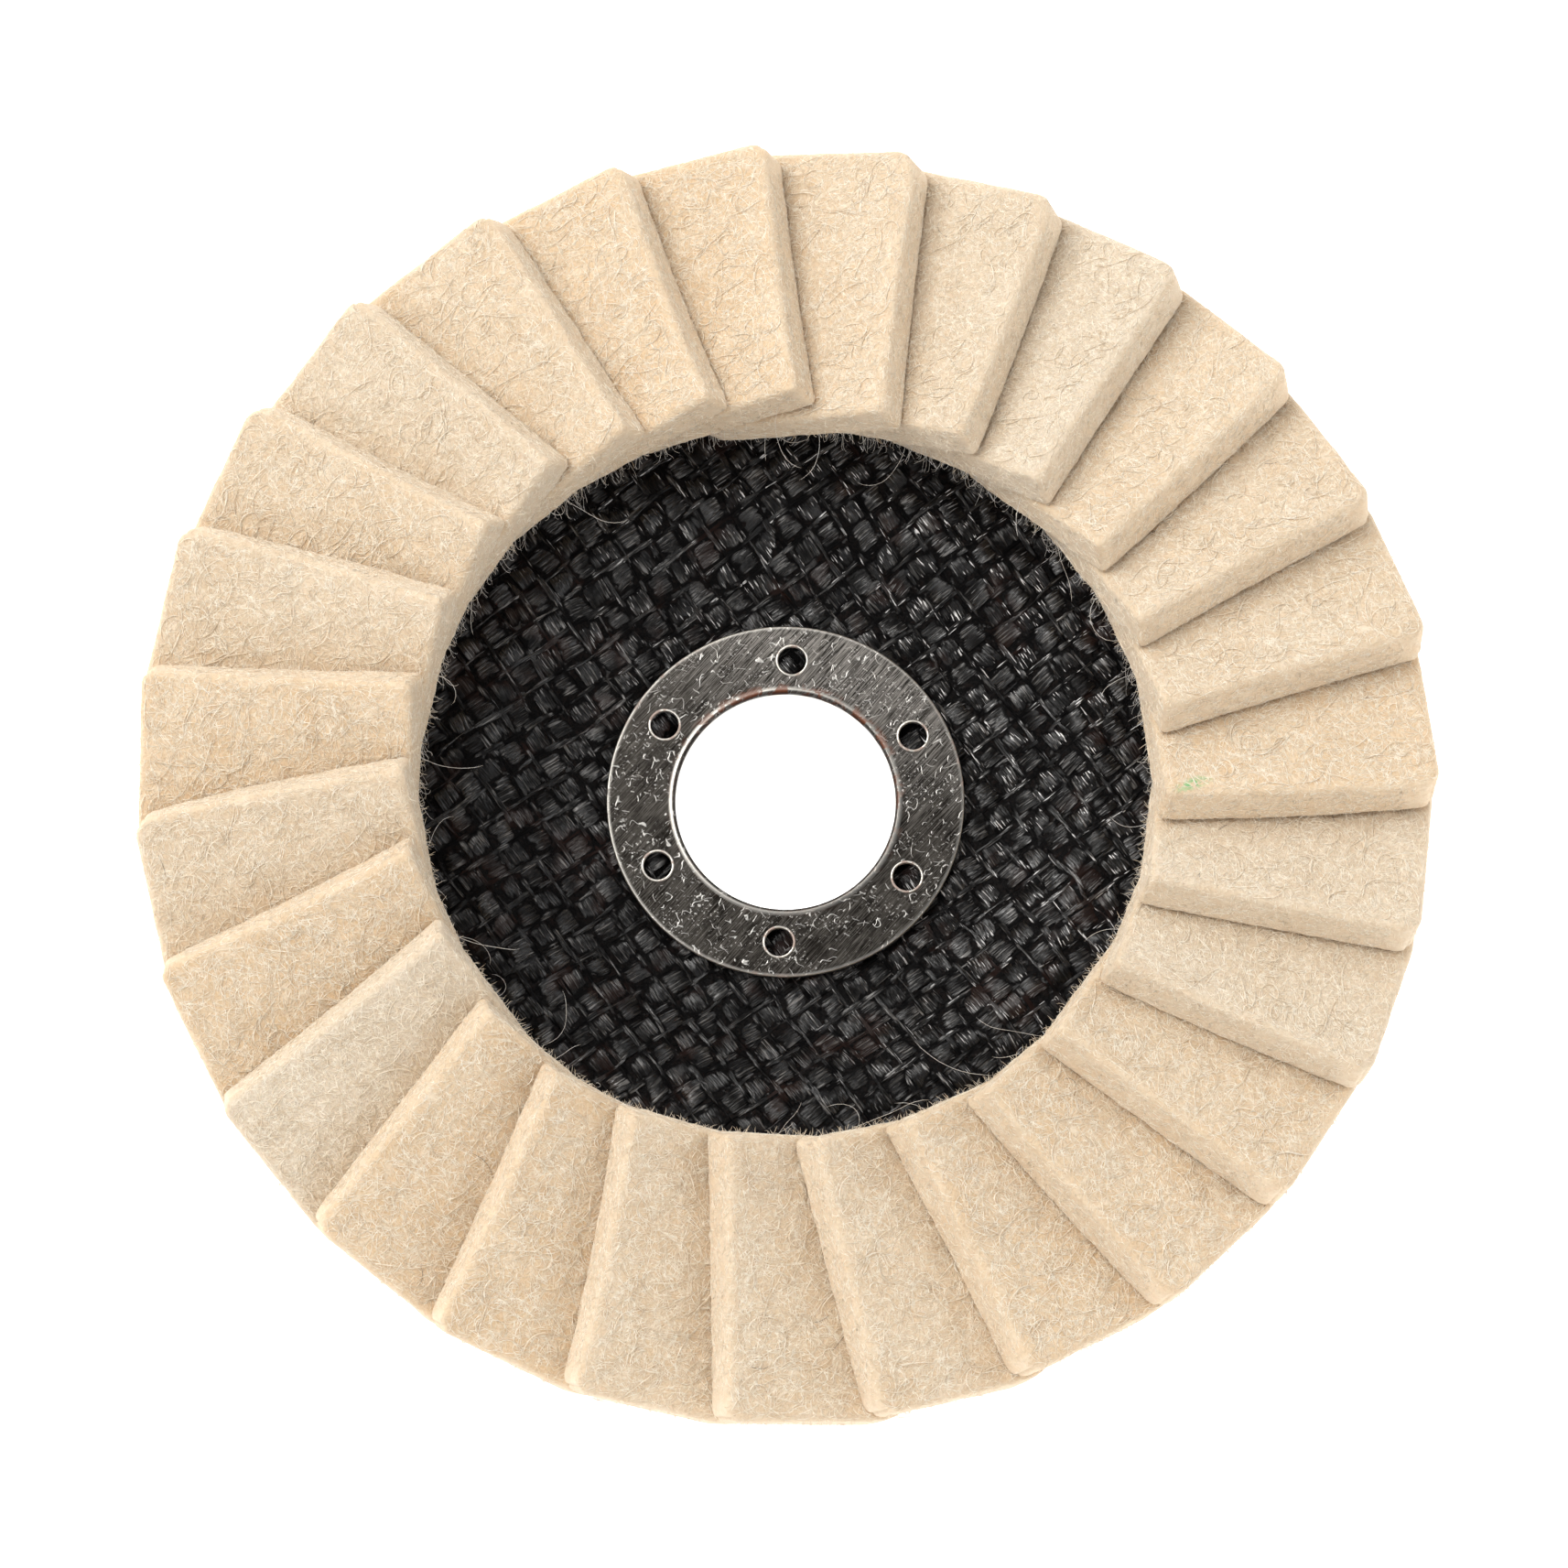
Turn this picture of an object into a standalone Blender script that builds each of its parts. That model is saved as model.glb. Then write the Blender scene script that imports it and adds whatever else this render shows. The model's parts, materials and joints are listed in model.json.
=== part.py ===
"""Felt flap polishing disc for an angle grinder.

The disc lies with its working side up. The origin is on the axis of the bore, at the rear face of the hub,
and +Z runs along that axis towards the working side. Lengths are in metres.

A bearing is an angle about +Z that starts at +Y and grows clockwise as seen from above. The flaps overlap
in that direction: each one lies on top of the next clockwise one.
"""

import math

import bmesh
import bpy
from mathutils import Vector

GAP = 0.0003  # clearance between two pieces that touch
TURN_STEPS = 48  # facets round a turned piece

# Bore and steel hub ring
BORE_RADIUS = 0.02223 / 2
RING_RADIUS = 0.0361 / 2
RING_THICKNESS = 0.0006
LIP_RADIUS = 0.0004  # rounded mouth of the bore
LIP_STEPS = 3
HOLE_RADIUS = 0.0014
HOLE_CIRCLE_RADIUS = 0.0145
HOLE_COUNT = 6
FIRST_HOLE_BEARING = math.radians(2.6)
HOLE_STEPS = 16

# Glass cloth plies, pressed into a dish with a raised flange
PLY_NAMES = ("rear_glass_ply", "middle_glass_ply", "front_glass_ply")
PLY_THICKNESS = 0.0006
DISH_RISE = 0.0046
HUB_FLAT_RADIUS = 0.0215
FLANGE_INNER_RADIUS = 0.0320
FLANGE_RADIUS = 0.0580
CONE_STEPS = 5

# Cured adhesive under the roots of the flaps
ADHESIVE_INNER_RADIUS = 0.0400
ADHESIVE_OUTER_RADIUS = 0.0560
ADHESIVE_THICKNESS = 0.0006

# Felt flaps: rectangular pads, glued along one edge and overlapping like shingles
FLAP_COUNT = 27
FIRST_FLAP_BEARING = math.radians(3.4)
FLAP_INNER_DISTANCE = 0.0360  # from the axis to the inner end, along the flap
FLAP_OUTER_DISTANCE = 0.0640
ROOT_OFFSET = 0.0088  # from the flap's radial centre line back to its glued edge
FREE_OFFSET = 0.0103  # from the same line forward to its free edge
FLAP_HEIGHT = 0.0052  # felt thickness, measured along Z
FLAP_STEPS_ACROSS = 6
FLAP_STEPS_ALONG = 5

# Worked out from the sizes above
COLLAR_RADIUS = BORE_RADIUS + RING_THICKNESS
PLY_BORE_RADIUS = COLLAR_RADIUS + GAP
PLY_STEP = PLY_THICKNESS + GAP
HUB_TOP = len(PLY_NAMES) * PLY_STEP - GAP
RING_TOP = HUB_TOP + GAP + RING_THICKNESS
FLANGE_TOP = HUB_TOP + DISH_RISE
ADHESIVE_BOTTOM = FLANGE_TOP + GAP
ROOT_HEIGHT = ADHESIVE_BOTTOM + ADHESIVE_THICKNESS + GAP
FLAP_PITCH = math.tau / FLAP_COUNT
STACK_STEP = FLAP_HEIGHT + GAP  # height from one flap to the one that lies on it
FLAP_MIDDLE_DISTANCE = (FLAP_INNER_DISTANCE + FLAP_OUTER_DISTANCE) / 2


def clear_scene():
    for scene_object in list(bpy.data.objects):
        bpy.data.objects.remove(scene_object, do_unlink=True)


def new_collection(name):
    collection = bpy.data.collections.new(name)
    bpy.context.scene.collection.children.link(collection)
    return collection


def new_material(name, colour, roughness, metallic=0.0):
    material = bpy.data.materials.new(name)
    material.use_nodes = True
    shader = material.node_tree.nodes["Principled BSDF"]
    shader.inputs["Base Color"].default_value = (*colour, 1.0)
    shader.inputs["Roughness"].default_value = roughness
    shader.inputs["Metallic"].default_value = metallic
    return material


def new_object(name, mesh, collection, material=None):
    piece = bpy.data.objects.new(name, mesh)
    collection.objects.link(piece)
    if material and not mesh.materials:
        mesh.materials.append(material)
    return piece


def turned_piece(name, outline, collection, material):
    """A ring turned about Z. Its outline is a closed loop of (radius, height) that runs out along the top."""
    mesh = bpy.data.meshes.new(name)
    points = [(radius, 0.0, height) for radius, height in outline]
    edges = [(i, (i + 1) % len(points)) for i in range(len(points))]
    mesh.from_pydata(points, edges, [])
    piece = new_object(name, mesh, collection, material)
    screw = piece.modifiers.new("turn", "SCREW")
    screw.steps = TURN_STEPS
    screw.render_steps = TURN_STEPS
    screw.use_merge_vertices = True
    screw.merge_threshold = 1e-5
    screw.use_smooth_shade = True
    return piece


def dish_height(radius):
    """Height of the dish over its hub: level on the hub, eased up the cone and level again on the flange."""
    share = (radius - HUB_FLAT_RADIUS) / (FLANGE_INNER_RADIUS - HUB_FLAT_RADIUS)
    share = min(max(share, 0.0), 1.0)
    return DISH_RISE * share * share * (3 - 2 * share)


def make_glass_ply(name, base_height, collection, material):
    cone_width = FLANGE_INNER_RADIUS - HUB_FLAT_RADIUS
    cone_radii = [HUB_FLAT_RADIUS + cone_width * i / CONE_STEPS for i in range(CONE_STEPS + 1)]
    radii = [PLY_BORE_RADIUS, *cone_radii, FLANGE_RADIUS]
    bottom = [(radius, base_height + dish_height(radius)) for radius in radii]
    top = [(radius, height + PLY_THICKNESS) for radius, height in bottom]
    return turned_piece(name, top + bottom[::-1], collection, material)


def bore_lip():
    """Quarter round from the wall of the bore up to the front face of the ring."""
    centre_radius = BORE_RADIUS + LIP_RADIUS
    centre_height = RING_TOP - LIP_RADIUS
    points = []
    for i in range(LIP_STEPS + 1):
        angle = math.pi / 2 * i / LIP_STEPS
        radius = centre_radius - LIP_RADIUS * math.cos(angle)
        points.append((radius, centre_height + LIP_RADIUS * math.sin(angle)))
    return points


def hole_cutter(collection):
    shape = bmesh.new()
    for i in range(HOLE_COUNT):
        bearing = FIRST_HOLE_BEARING + math.tau * i / HOLE_COUNT
        made = bmesh.ops.create_cone(
            shape,
            cap_ends=True,
            segments=HOLE_STEPS,
            radius1=HOLE_RADIUS,
            radius2=HOLE_RADIUS,
            depth=4 * RING_THICKNESS,
        )
        centre = Vector((math.sin(bearing), math.cos(bearing), 0)) * HOLE_CIRCLE_RADIUS
        centre.z = RING_TOP - RING_THICKNESS / 2
        bmesh.ops.translate(shape, verts=made["verts"], vec=centre)
    mesh = bpy.data.meshes.new("ring_holes_cutter")
    shape.to_mesh(mesh)
    shape.free()
    cutter = new_object("ring_holes_cutter", mesh, collection)
    cutter.hide_render = True
    cutter.display_type = "WIRE"
    return cutter


def make_hub_ring(collection, cutters, material):
    """Flanged steel bushing: a flat ring on the front of the hub and a collar that lines the bore."""
    ring_bottom = RING_TOP - RING_THICKNESS
    outline = [
        *bore_lip(),
        (RING_RADIUS, RING_TOP),
        (RING_RADIUS, ring_bottom),
        (COLLAR_RADIUS, ring_bottom),
        (COLLAR_RADIUS, GAP),
        (BORE_RADIUS, GAP),
    ]
    ring = turned_piece("hub_ring", outline, collection, material)
    holes = ring.modifiers.new("clinch_holes", "BOOLEAN")
    holes.operation = "DIFFERENCE"
    holes.object = hole_cutter(cutters)
    return ring


def make_adhesive_ring(collection, material):
    top = ADHESIVE_BOTTOM + ADHESIVE_THICKNESS
    outline = [
        (ADHESIVE_INNER_RADIUS, top),
        (ADHESIVE_OUTER_RADIUS, top),
        (ADHESIVE_OUTER_RADIUS, ADHESIVE_BOTTOM),
        (ADHESIVE_INNER_RADIUS, ADHESIVE_BOTTOM),
    ]
    return turned_piece("adhesive_ring", outline, collection, material)


def underside_point(across, along):
    """Point on a flap's underside. across runs clockwise from the flap's radial line and along runs outwards.

    The height grows with the bearing past the glued edge by one stack step for each pitch, so every flap
    is parallel to its neighbours and keeps the same gap to them all the way from its root to its free edge.
    """
    radius = math.hypot(across, along)
    bearing_past_root = math.atan2(across, along) + math.asin(ROOT_OFFSET / radius)
    return Vector((across, along, STACK_STEP * bearing_past_root / FLAP_PITCH))


def underside_normal(across, along):
    step = 1e-5
    slope_across = underside_point(across + step, along) - underside_point(across - step, along)
    slope_along = underside_point(across, along + step) - underside_point(across, along - step)
    return slope_across.cross(slope_along).normalized()


def flap_mesh(material):
    """Felt pad with its glued edge on the mesh's Y axis, halfway along it.

    Its upper face stands off the underside along the felt's own normal, so the edges of the pad are square.
    """
    shape = bmesh.new()
    bmesh.ops.create_grid(shape, x_segments=FLAP_STEPS_ACROSS, y_segments=FLAP_STEPS_ALONG, size=0.5)
    width = FREE_OFFSET + ROOT_OFFSET
    length = FLAP_OUTER_DISTANCE - FLAP_INNER_DISTANCE
    hinge = Vector((-ROOT_OFFSET, FLAP_MIDDLE_DISTANCE, 0))
    for corner in shape.verts:
        across = -ROOT_OFFSET + width * (corner.co.x + 0.5)
        along = FLAP_INNER_DISTANCE + length * (corner.co.y + 0.5)
        corner.co = underside_point(across, along) - hinge
    made = bmesh.ops.extrude_face_region(shape, geom=shape.faces[:], use_keep_orig=True)
    upper = [element for element in made["geom"] if isinstance(element, bmesh.types.BMVert)]
    for corner in upper:
        normal = underside_normal(corner.co.x + hinge.x, corner.co.y + hinge.y)
        corner.co += normal * (FLAP_HEIGHT * normal.z)
    bmesh.ops.recalc_face_normals(shape, faces=shape.faces[:])
    mesh = bpy.data.meshes.new("felt_flap")
    shape.to_mesh(mesh)
    shape.free()
    mesh.materials.append(material)
    return mesh


def place_flap(index, mesh, collection):
    """Turns a flap to its bearing, with its origin on its glued edge, the line it flexes about."""
    bearing = FIRST_FLAP_BEARING + index * FLAP_PITCH
    outwards = Vector((math.sin(bearing), math.cos(bearing), 0))
    clockwise = Vector((math.cos(bearing), -math.sin(bearing), 0))
    flap = new_object(f"flap_{index + 1:02d}", mesh, collection)
    flap.location = FLAP_MIDDLE_DISTANCE * outwards - ROOT_OFFSET * clockwise
    flap.location.z = ROOT_HEIGHT
    flap.rotation_euler.z = -bearing
    return flap


def make_flaps(collection, material):
    mesh = flap_mesh(material)
    for index in range(FLAP_COUNT):
        place_flap(index, mesh, collection)


def make_wheel():
    wheel = new_collection("felt_polishing_wheel")
    cutters = new_collection("cutters")
    glass = new_material("black_glass_laminate", (0.012, 0.011, 0.011), 0.35)
    steel = new_material("zinc_plated_steel", (0.30, 0.30, 0.28), 0.38, metallic=1.0)
    adhesive = new_material("cured_adhesive", (0.42, 0.30, 0.16), 0.3)
    felt = new_material("wool_felt", (0.80, 0.67, 0.48), 0.95)
    for layer, name in enumerate(PLY_NAMES):
        make_glass_ply(name, layer * PLY_STEP, wheel, glass)
    make_hub_ring(wheel, cutters, steel)
    make_adhesive_ring(wheel, adhesive)
    make_flaps(wheel, felt)


clear_scene()
make_wheel()
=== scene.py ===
"""Looks of the felt flap polishing disc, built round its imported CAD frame.

Lengths are in metres, in the frame's own axes: +Z runs along the bore towards the felt side. A bearing is an
angle about +Z that starts at +Y and grows clockwise seen from above, as the flaps overlap.
"""

import json
import math

import bmesh
import bpy
import numpy as np
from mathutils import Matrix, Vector


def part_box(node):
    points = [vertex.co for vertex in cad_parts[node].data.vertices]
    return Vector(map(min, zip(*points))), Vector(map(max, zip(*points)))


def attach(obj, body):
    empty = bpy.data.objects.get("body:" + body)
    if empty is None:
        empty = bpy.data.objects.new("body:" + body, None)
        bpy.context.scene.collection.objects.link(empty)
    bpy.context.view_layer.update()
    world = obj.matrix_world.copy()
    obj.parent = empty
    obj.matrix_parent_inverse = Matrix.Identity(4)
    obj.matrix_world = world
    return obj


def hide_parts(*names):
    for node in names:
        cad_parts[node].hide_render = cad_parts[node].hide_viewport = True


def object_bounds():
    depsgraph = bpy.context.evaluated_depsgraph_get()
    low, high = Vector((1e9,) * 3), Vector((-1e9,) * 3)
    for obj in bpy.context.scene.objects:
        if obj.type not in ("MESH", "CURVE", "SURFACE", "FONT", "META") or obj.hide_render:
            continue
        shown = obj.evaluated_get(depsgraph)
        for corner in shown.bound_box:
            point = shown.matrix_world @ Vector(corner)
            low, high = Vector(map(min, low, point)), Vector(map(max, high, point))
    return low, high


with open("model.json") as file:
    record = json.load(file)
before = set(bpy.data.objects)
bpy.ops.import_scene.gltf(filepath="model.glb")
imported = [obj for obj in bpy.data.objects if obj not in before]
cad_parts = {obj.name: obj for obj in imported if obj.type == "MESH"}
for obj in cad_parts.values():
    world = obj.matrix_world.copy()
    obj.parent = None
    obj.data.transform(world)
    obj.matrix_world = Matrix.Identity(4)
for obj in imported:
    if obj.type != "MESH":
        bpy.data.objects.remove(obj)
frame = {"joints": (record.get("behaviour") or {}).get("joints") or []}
cad_low, cad_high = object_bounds()

MM = 0.001

# Felt flaps: the plan of one flap about its own radial line, as in the CAD. The first flap is number 0 here.
FLAP_LENGTH = 28.0 * MM
FREE_OFFSET = 10.3 * MM  # how far the free edge lies from the radial line
FLAP_HEIGHT = 5.2 * MM
FLAP_GAP = 0.3 * MM
ROOT_CORNER = 5.5 * MM  # plan radius of the hidden outer corner by the glued edge
FELT_FILL = 0.24 * MM  # extra thickness that closes most of the gap between neighbours
FELT_GRAIN = 0.42 * MM  # size of a felt mesh face
FELT_ROUND = 0.75 * MM  # radius of a flap's worn edges
FELT_WAVES = ((11 * MM, 0.055 * MM), (3.2 * MM, 0.035 * MM), (1.3 * MM, 0.022 * MM))  # length, height
EDGE_WANDER = 0.022 * MM  # how far the second wave also moves the felt sideways
GREY_FLAPS = (2, 17)
WARM_FLAPS = (11, 25, 26)
DYED_FLAP = 6
DYE_CENTRE = (39.9 * MM, -2.2 * MM)
DYE_REACH = 2.0 * MM

# Glass cloth
DISH_HUB_RADIUS = 21.5 * MM
DISH_FLANGE_RADIUS = 32.0 * MM
PLY_THICKNESS = 0.6 * MM
WEAVE_PITCH = 2.80 * MM
WEAVE_ANGLE = math.radians(36)
YARN_WIDTH = 1.95 * MM
YARN_THICKNESS = 0.22 * MM
YARN_WAVE = 0.25 * MM  # how far a yarn rises and falls from the middle of the weave
GAP_STRAND_WIDTH = 0.48 * MM
FAMILY_SHIFT = 61.0  # sets the two families of yarns apart in their yarn coordinates
STRAY_SHIFT = 131.0  # and the thin strands apart from the yarns
PAINTED_GLINT_SHARE = (0.20, 1.0)  # how strongly each family of yarns shows the painted glints, as fibres lying one way catch the light
RESIN_LEVEL = 0.17 * MM  # how high the resin stands round the yarns, over the middle of the weave
PLY_OVERLAP = 0.13 * MM  # how far neighbouring plies run into each other, so that no gap shows
FRONT_CLOTH_RADIUS = 43.0 * MM  # the flaps hide the cloth beyond this

# Steel ring
BORE_RADIUS = 22.23 * MM / 2
COLLAR_WALL = 0.6 * MM
FLANGE_THICKNESS = 0.55 * MM
FLANGE_DROP = 0.06 * MM  # leaves room under the CAD's top for the rolled lips round the holes
LIP_RADIUS = 0.34 * MM  # of the round into the bore
RIM_ROUND = 0.16 * MM
HOLE_COUNT = 6
HOLE_RADIUS = 1.4 * MM
HOLE_CIRCLE_RADIUS = 14.5 * MM
FIRST_HOLE_BEARING = math.radians(2.6)

BEAD_RADIUS_IN = 40.3 * MM  # of the adhesive, hidden under the flaps

joints = sorted(frame["joints"], key=lambda joint: joint["name"])
flap_pitch = math.tau / len(joints)
stack_step = FLAP_HEIGHT + FLAP_GAP
hinge = Vector(joints[0]["pos_m"])
hinge_outwards = -Vector(joints[0]["axis"])
hinge_clockwise = Vector((hinge_outwards.y, -hinge_outwards.x, 0))
root_offset = -hinge.dot(hinge_clockwise)
flap_middle = hinge.dot(hinge_outwards)
flap_inner = flap_middle - FLAP_LENGTH / 2
flap_outer = flap_middle + FLAP_LENGTH / 2
flap_width = root_offset + FREE_OFFSET
front_ply_low, front_ply_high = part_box("front_glass_ply")
dish_rise = front_ply_high.z - front_ply_low.z - PLY_THICKNESS
ring_low, ring_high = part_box("hub_ring")
ring_radius = ring_high.x


# ---------------------------------------------------------------- meshes

def new_piece(name, points, faces, material, body):
    """Makes a smooth-shaded mesh piece from point and face arrays and lets it ride on a body."""
    mesh = bpy.data.meshes.new(name)
    mesh.from_pydata(np.asarray(points).reshape(-1, 3).tolist(), [], np.asarray(faces).tolist())
    mesh.polygons.foreach_set("use_smooth", [True] * len(mesh.polygons))
    mesh.materials.append(material)
    piece = bpy.data.objects.new(name, mesh)
    bpy.context.scene.collection.objects.link(piece)
    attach(piece, body)
    return piece


def set_values(piece, name, values):
    """Stores one number for each point, for a material to read."""
    attribute = piece.data.attributes.new(name, "FLOAT", "POINT")
    attribute.data.foreach_set("value", np.asarray(values, dtype=np.float32).ravel())


def grid_faces(rows, columns, close_rows=False):
    """Quads of a rows by columns grid of points. The columns close on themselves, and the rows may too."""
    row = np.arange(rows if close_rows else rows - 1)
    row, column = np.meshgrid(row * columns, np.arange(columns), indexing="ij")
    next_row = (row + columns) % (rows * columns)
    next_column = (column + 1) % columns
    corners = [row + column, next_row + column, next_row + next_column, row + next_column]
    return np.stack(corners, -1).reshape(-1, 4)


def box_shell(lattice):
    """Faces of the outside of a box lattice, and the lattice places of the points that they use."""
    size = np.array([len(line) for line in lattice])
    place = np.stack(np.meshgrid(*[np.arange(n) for n in size], indexing="ij"), -1)
    outside = ((place == 0) | (place == size - 1)).any(-1)
    number = np.full(size, -1)
    number[outside] = np.arange(outside.sum())
    quads = []
    for axis in range(3):
        for side in (0, -1):
            sheet = np.take(number, side, axis)
            corners = [sheet[:-1, :-1], sheet[1:, :-1], sheet[1:, 1:], sheet[:-1, 1:]]
            quad = np.stack(corners, -1).reshape(-1, 4)
            faces_out = (axis == 1) == (side == -1)
            quads.append(quad[:, ::-1] if faces_out else quad)
    return np.concatenate(quads), place[outside]


def tube_mesh(paths, radius, sides=3):
    """Points and faces of thin tubes along an array of paths (strand, point, xyz), tapered at both ends."""
    count, steps, _ = paths.shape
    tangent = np.gradient(paths, axis=1)
    tangent /= np.linalg.norm(tangent, axis=2, keepdims=True) + 1e-12
    aside = np.cross(tangent, (0.31, 0.17, 0.93))
    aside /= np.linalg.norm(aside, axis=2, keepdims=True) + 1e-12
    above = np.cross(tangent, aside)
    along = np.linspace(-1, 1, steps)
    taper = np.sqrt(np.clip(1 - along**6, 0.02, 1))
    turn = np.arange(sides) * math.tau / sides
    width = np.broadcast_to(np.reshape(radius, (-1, 1)), (count, steps)) * taper
    ring = aside[:, :, None] * np.cos(turn)[:, None] + above[:, :, None] * np.sin(turn)[:, None]
    points = paths[:, :, None] + ring * width[:, :, None, None]
    one = grid_faces(steps, sides)
    faces = one[None] + (np.arange(count) * steps * sides)[:, None, None]
    return points.reshape(-1, 3), faces.reshape(-1, 4)


def turned_mesh(outline, steps):
    """Points and faces of a ring whose outline is a closed loop of (radius, height), turned about Z."""
    outline = np.asarray(outline)
    turn = np.arange(steps) * math.tau / steps
    x = np.cos(turn)[:, None] * outline[:, 0]
    y = np.sin(turn)[:, None] * outline[:, 0]
    z = np.broadcast_to(outline[:, 1], x.shape)
    return np.stack([x, y, z], -1).reshape(-1, 3), grid_faces(steps, len(outline), close_rows=True)


def arc(centre, radius, start, end, steps):
    """Points on an arc in the plane of radius and height, with angles in degrees."""
    angles = np.radians(np.linspace(start, end, steps + 1))
    return [(centre[0] + radius * math.cos(a), centre[1] + radius * math.sin(a)) for a in angles]


class Ripple:
    """A smooth random field: a sum of waves in random directions, much the same size everywhere."""

    def __init__(self, rng, wavelength, waves=14):
        direction = rng.normal(size=(waves, 3))
        direction /= np.linalg.norm(direction, axis=1, keepdims=True)
        length = wavelength * rng.uniform(0.7, 1.5, (waves, 1))
        self.wave = direction * math.tau / length
        self.phase = rng.uniform(0, math.tau, waves)
        self.scale = math.sqrt(2 / waves)

    def __call__(self, points):
        return np.sin(points @ self.wave.T + self.phase).sum(-1) * self.scale


# ---------------------------------------------------------------- materials

class Shader:
    """The nodes of a material or a world under construction."""

    def __init__(self, name, group=bpy.data.materials):
        self.owner = group.new(name)
        self.owner.use_nodes = True
        self.tree = self.owner.node_tree
        self.tree.nodes.clear()

    def node(self, kind, inputs=None, **settings):
        made = self.tree.nodes.new("ShaderNode" + kind)
        for key, value in settings.items():
            setattr(made, key, value)
        for key, value in (inputs or {}).items():
            if isinstance(value, bpy.types.NodeSocket):
                self.tree.links.new(value, made.inputs[key])
            else:
                made.inputs[key].default_value = value
        return made

    def math(self, operation, first, second=0.0, third=0.0):
        inputs = {0: first, 1: second, 2: third}
        return self.node("Math", inputs, operation=operation).outputs[0]

    def times(self, *values):
        product = values[0]
        for value in values[1:]:
            product = self.math("MULTIPLY", product, value)
        return product

    def scaled(self, value, factor, shift):
        return self.math("MULTIPLY_ADD", value, factor, shift)

    def mix(self, factor, first, second):
        """The first colour where factor is 0 and the second where it is 1."""
        return self.node("Mix", {0: factor, 6: first, 7: second}, data_type="RGBA").outputs[2]

    def ramp(self, value, low, high):
        """0 up to low, 1 from high on, and smooth between them."""
        inputs = {"Value": value, "From Min": low, "From Max": high}
        return self.node("MapRange", inputs, interpolation_type="SMOOTHSTEP").outputs[0]

    def millimetres(self):
        """Object coordinates in millimetres."""
        place = self.node("TexCoord").outputs["Object"]
        return self.node("VectorMath", {0: place, "Scale": 1 / MM}, operation="SCALE").outputs[0]

    def noise(self, vector, scale=1.0, detail=2.0, roughness=0.5):
        inputs = {"Vector": vector, "Scale": scale, "Detail": detail, "Roughness": roughness}
        return self.node("TexNoise", inputs).outputs[0]

    def stretched(self, vector, turn, scale):
        inputs = {"Vector": vector, "Rotation": (0, 0, turn), "Scale": scale}
        return self.node("Mapping", inputs, vector_type="TEXTURE").outputs[0]

    def warped(self, vector, scale, distance):
        """The vector pushed about by noise, so that straight streaks turn into curly ones."""
        colour = self.node("TexNoise", {"Vector": vector, "Scale": scale, "Detail": 1.0}).outputs["Color"]
        centred = self.node("VectorMath", {0: colour, 1: (0.5, 0.5, 0.5)}, operation="SUBTRACT").outputs[0]
        push = self.node("VectorMath", {0: centred, "Scale": distance}, operation="SCALE").outputs[0]
        return self.node("VectorMath", {0: vector, 1: push}, operation="ADD").outputs[0]

    def curls(self, vector, scale, width, shift):
        """Thin curly lines: the level lines of a smooth noise. shift picks another set of lines."""
        moved = self.node("VectorMath", {0: vector, 1: (17.3 * shift, -9.1 * shift, 4.7 * shift)}).outputs[0]
        level = self.noise(moved, scale, 1.0, 0.4)
        away = self.math("ABSOLUTE", self.math("SUBTRACT", level, 0.5))
        return self.math("SUBTRACT", 1.0, self.ramp(away, 0.0, width))

    def attribute(self, name):
        return self.node("Attribute", attribute_name=name).outputs["Fac"]

    def bump(self, height, strength, distance, normal=None):
        inputs = {"Height": height, "Strength": strength, "Distance": distance}
        if normal is not None:
            inputs["Normal"] = normal
        return self.node("Bump", inputs).outputs[0]

    def finish(self, **inputs):
        named = {key.replace("_", " "): value for key, value in inputs.items()}
        surface = self.node("BsdfPrincipled", named).outputs[0]
        self.node("OutputMaterial", {"Surface": surface})
        return self.owner


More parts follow.
